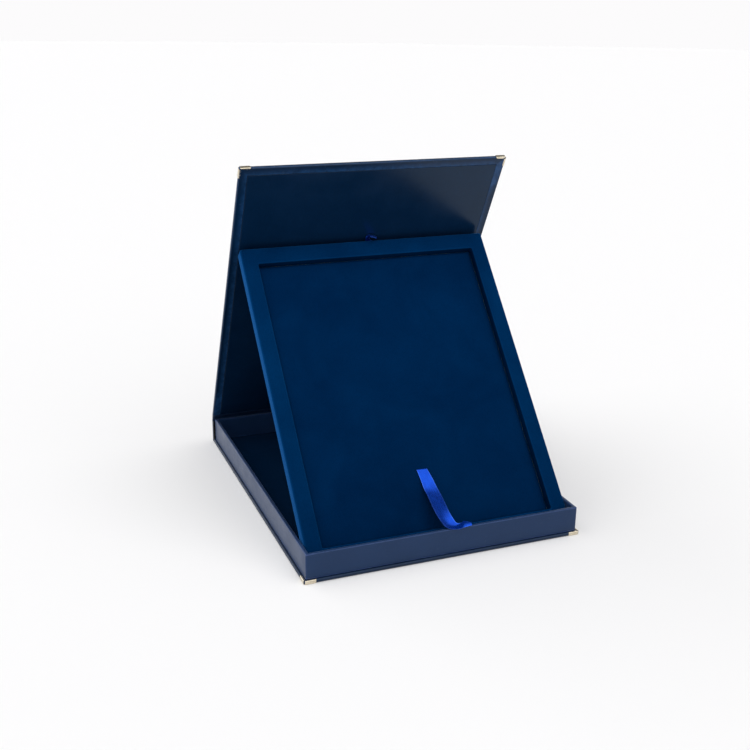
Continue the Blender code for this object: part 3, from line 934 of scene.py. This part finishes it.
def pull_ribbon():
    """Out of the slot, down over the recess, over the front wall's rim and twisted at its end."""
    left = millimetres(
        (-6.3, 67.2, 2.2), (-5.9, 66.4, 3.3), (-5.3, 59.0, 4.4), (-5.3, 48.5, 7.0),
        (-5.3, 40.0, 11.0), (-5.7, 30.9, 15.2), (-5.0, 23.0, 17.8), (-3.2, 16.0, 19.4),
        (-1.2, 11.2, 20.4), (2.5, 8.4, 21.6), (7.3, 7.2, 22.4), (10.9, 7.1, 22.5),
        (14.5, 7.8, 21.8), (21.6, 8.5, 21.1),
    )
    right = millimetres(
        (4.0, 67.0, 2.2), (3.6, 66.2, 3.3), (5.4, 58.2, 4.3), (6.9, 48.7, 5.6),
        (8.1, 40.6, 7.6), (8.2, 33.3, 10.6), (7.8, 25.1, 14.4), (8.4, 18.8, 16.8),
        (9.7, 14.4, 17.6), (11.1, 12.9, 17.9), (13.1, 12.7, 17.8), (14.8, 12.8, 18.0),
        (16.9, 13.6, 18.4), (22.2, 11.3, 20.2),
    )
    cups = (0.0, 0.0002, 0.0003, 0.0003, 0.0002, -0.0002, -0.0005, -0.0007, -0.0008, -0.0009,
            -0.0006, -0.0003, 0.0004, 0.0002)
    made = ribbon("pull_ribbon_satin", left, right, cups, ["pull_ribbon"])
    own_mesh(made)


def lift_tab():
    """A short ribbon end out of the panel's top edge, turned up in front of the lid."""
    end = frame_high.y * 1000.0
    left = millimetres(
        (4.6, end - 9.0, 2.42), (4.6, end - 1.0, 2.42), (3.2, end + 2.0, 3.6),
        (2.0, end + 3.3, 6.0), (2.5, end + 4.6, 9.0), (4.4, end + 5.5, 10.0),
        (8.3, end + 4.7, 10.0), (12.4, end + 3.5, 9.5),
    )
    right = millimetres(
        (16.4, end - 9.0, 2.42), (16.3, end - 1.0, 2.42), (10.0, end + 1.2, 5.0),
        (5.0, end + 1.6, 9.0), (3.0, end + 0.2, 14.0), (2.2, end - 1.2, 18.0),
        (5.1, end - 2.1, 18.5), (7.9, end - 3.2, 18.0),
    )
    cups = (0.0, 0.0, 0.0004, 0.0012, 0.0008, 0.0003, 0.0003, 0.0002)
    made = ribbon("lift_tab_satin", left, right, cups, ["lift_tab"])
    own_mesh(made)


pull_ribbon()
lift_tab()


# ---------------------------------------------------------------- cloth joints

def swept_section(section, low_x, high_x, stations=24, wave=0.0):
    """A closed section of (y, z) points, run along X."""
    rings = []
    for i in range(stations + 1):
        share = i / stations
        x = low_x + (high_x - low_x) * share
        near_end = 0.25 if i in (0, stations) else 1.0
        ring = []
        for y, z in section:
            lift = wave * noise.noise(Vector((x * 40.0, y * 90.0, z * 90.0))) * near_end
            ring.append((x, y + lift, z + lift))
        rings.append(ring)
    return rings_to_mesh(rings)


def hinge_joint():
    """The covering's flexible joint: from the spine's top over into the lid's two faces."""
    pivot = Vector(JOINTS["lid_hinge"]["pos_m"])
    turn = slope_of("lid_board")
    along, across = ways(turn)
    start, half, lap = lid_low.y, lid_high.z, 0.0026
    top = spine_high.z - pivot.z
    back, front = spine_high.y - pivot.y, spine_low.y - pivot.y

    def on_lid(distance, height):
        return along * distance + across * height

    skin = 0.00012
    section = [
        Vector((back + skin, top - lap)), Vector((back + skin, top)),
        Vector((back + skin * 0.5, top * 0.3)), on_lid(start * 0.55, -half + skin),
        on_lid(start + 0.0004, -half - skin), on_lid(start + lap, -half - skin),
        on_lid(start + lap, half + skin), on_lid(start + 0.0004, half + skin),
        on_lid(start * 0.45, half - skin), Vector((front - skin * 2, top * 0.25)),
        Vector((front - skin * 2, top * 0.9)), Vector((front, top - lap)),
    ]
    section = [(pivot.y + p.x, pivot.z + p.y) for p in section]
    shape = swept_section(
        section, lid_low.x + 0.0004, lid_high.x - 0.0004, stations=32, wave=0.00006
    )
    made = piece(
        "hinge_joint_covering", shape, BASE, None, SHADED_CASE_LEATHERETTE,
        ["hinge_cloth"], smooth=math.radians(70),
    )
    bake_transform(made)


def foot_tape():
    """Cloth tape folded at the panel's foot: one leg on the tray's floor, one up the back."""
    pivot = Vector(JOINTS["panel_tilt"]["pos_m"])
    turn = slope_of("panel_back_board")
    along, above = ways(turn)
    thick = TAPE_THICK
    floor = floor_high.z - pivot.z + 0.00004
    back = frame_low.z - 0.00003
    line = [
        Vector((TAPE_LEG, floor + thick / 2)), Vector((0.0012, floor + thick / 2)),
        Vector((0.0002, floor + thick)), Vector((-0.0001, -0.00055)),
        Vector((0.0003, -0.00035)), along * 0.0016 + above * (back - thick / 2),
        along * TAPE_LEG + above * (back - thick / 2),
    ]
    one, two = [], []
    for i, point in enumerate(line):
        ahead, behind = line[min(i + 1, len(line) - 1)], line[max(i - 1, 0)]
        way = (ahead - behind).normalized()
        side = Vector((-way.y, way.x)) * thick / 2
        one.append(point + side)
        two.append(point - side)
    section = [(pivot.y + p.x, pivot.z + p.y) for p in [*one, *two[::-1]]]
    half = frame_high.x - 0.001
    shape = swept_section(section, -half, half)
    made = piece(
        "foot_tape_cloth", shape, BASE, None, TAPE, ["panel_hinge_tape"],
        smooth=math.radians(60),
    )
    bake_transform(made)


hinge_joint()
foot_tape()
paper_low, paper_high = inner_box("panel_back_paper", PANEL)
lining_sheet(
    "panel_back_sheet", PANEL, "panel", paper_low, paper_high, ["panel_back_paper"]
)


# ---------------------------------------------------------------- room, light and camera

def room():
    """A wide pale floor that keeps the box's shadow."""
    n = Nodes("floor_paper")
    path = n.add("ShaderNodeLightPath")
    seen = n.math("MAXIMUM", path.outputs["Is Camera Ray"], path.outputs["Is Glossy Ray"])
    seen = n.math("MAXIMUM", seen, path.outputs["Is Transmission Ray"])
    n.set(Base_Color=(0.740, 0.738, 0.742, 1.0), Roughness=0.9, Specular_IOR_Level=0.1)
    n.set(Emission_Color=(1.0, 1.0, 1.0, 1.0))
    n.put(n.shader.inputs["Emission Strength"], n.math("MULTIPLY", seen, FLOOR_GLOW))
    shape = bmesh.new()
    bmesh.ops.create_circle(shape, cap_ends=True, segments=64, radius=FLOOR_RADIUS)
    mesh = bpy.data.meshes.new("floor")
    shape.to_mesh(mesh)
    shape.free()
    mesh.materials.append(n.material)
    floor = bpy.data.objects.new("floor", mesh)
    floor.location.z = -0.0003
    bpy.context.scene.collection.objects.link(floor)

    world = bpy.data.worlds.new("studio")
    bpy.context.scene.world = world
    world.use_nodes = True
    tree = world.node_tree
    background = tree.nodes["Background"]
    path = tree.nodes.new("ShaderNodeLightPath")
    where = tree.nodes.new("ShaderNodeTexCoord").outputs["Generated"]

    def lobe(towards, start, end, low, high):
        """A smooth step of brightness round one direction."""
        toward = tree.nodes.new("ShaderNodeVectorMath")
        toward.operation = "DOT_PRODUCT"
        tree.links.new(where, toward.inputs[0])
        toward.inputs[1].default_value = towards
        made = tree.nodes.new("ShaderNodeMapRange")
        made.interpolation_type = "SMOOTHSTEP"
        tree.links.new(toward.outputs["Value"], made.inputs["Value"])
        for key, number in (
            ("From Min", start), ("From Max", end), ("To Min", low), ("To Max", high),
        ):
            made.inputs[key].default_value = number
        return made.outputs["Result"]

    def larger(one, two):
        made = tree.nodes.new("ShaderNodeMath")
        made.operation = "MAXIMUM"
        tree.links.new(one, made.inputs[0])
        tree.links.new(two, made.inputs[1])
        return made.outputs["Value"]

    def chosen(test, otherwise, then):
        """A strength that depends on the kind of ray."""
        made = tree.nodes.new("ShaderNodeMapRange")
        tree.links.new(test, made.inputs["Value"])
        for key, value in (("To Min", otherwise), ("To Max", then)):
            if isinstance(value, float):
                made.inputs[key].default_value = value
            else:
                tree.links.new(value, made.inputs[key])
        return made.outputs["Result"]

    softbox = lobe(SOFTBOX, 0.80, 0.95, DARK_CEILING, 1.0)
    walls = lobe((0.0, 0.0, 1.0), 0.62, 0.35, DARK_CEILING, 1.0)
    mirrored = chosen(path.outputs["Is Glossy Ray"], AROUND, larger(softbox, walls))
    background.inputs["Color"].default_value = (1.0, 0.992, 1.0, 1.0)
    tree.links.new(
        chosen(path.outputs["Is Camera Ray"], mirrored, BACKDROP), background.inputs["Strength"]
    )


def soft_sun(name, towards, share, spread):
    """A distant soft lamp. share is the brightness that it adds to a white surface facing it."""
    data = bpy.data.lights.new(name, "SUN")
    data.energy = share * math.pi
    data.angle = math.radians(spread)
    made = bpy.data.objects.new(name, data)
    made.rotation_euler = Vector(towards).to_track_quat("Z", "Y").to_euler()
    bpy.context.scene.collection.objects.link(made)


def camera():
    """A camera at the viewing angle, from its turns and from where the tray's middle lies in it."""
    low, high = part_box("tray_wrap")
    aim = Vector(((low.x + high.x) / 2, (low.y + high.y) / 2, LOOK_HEIGHT))
    forward = Vector((
        math.sin(CAMERA_YAW) * math.cos(CAMERA_PITCH),
        math.cos(CAMERA_YAW) * math.cos(CAMERA_PITCH),
        -math.sin(CAMERA_PITCH),
    ))
    right = Vector((math.cos(CAMERA_YAW), -math.sin(CAMERA_YAW), 0.0))
    down = forward.cross(right)
    c, s = math.cos(CAMERA_ROLL), math.sin(CAMERA_ROLL)
    right, down = c * right - s * down, s * right + c * down
    place = aim - (
        CAMERA_FRAMING.x * right + CAMERA_FRAMING.y * down + CAMERA_FRAMING.z * forward
    )
    data = bpy.data.cameras.new("camera")
    data.sensor_width = 36.0
    data.lens = LENS_SHARE * data.sensor_width
    data.clip_start, data.clip_end = 0.05, 60.0
    made = bpy.data.objects.new("camera", data)
    turn = Matrix((right, -down, -forward)).transposed().to_4x4()
    made.matrix_world = Matrix.Translation(place) @ turn
    bpy.context.scene.collection.objects.link(made)
    bpy.context.scene.camera = made


for old in list(bpy.data.objects):
    if old.type in ("LIGHT", "CAMERA") or old.name == "Cube":
        bpy.data.objects.remove(old, do_unlink=True)
room()
soft_sun("key_front_right", (0.14, -0.48, 0.86), share=0.52, spread=90.0)
soft_sun("rim_back_left", (-0.95, 0.60, 0.38), share=0.62, spread=90.0)
camera()
bpy.context.scene.view_settings.view_transform = "Standard"

bpy.context.view_layer.update()
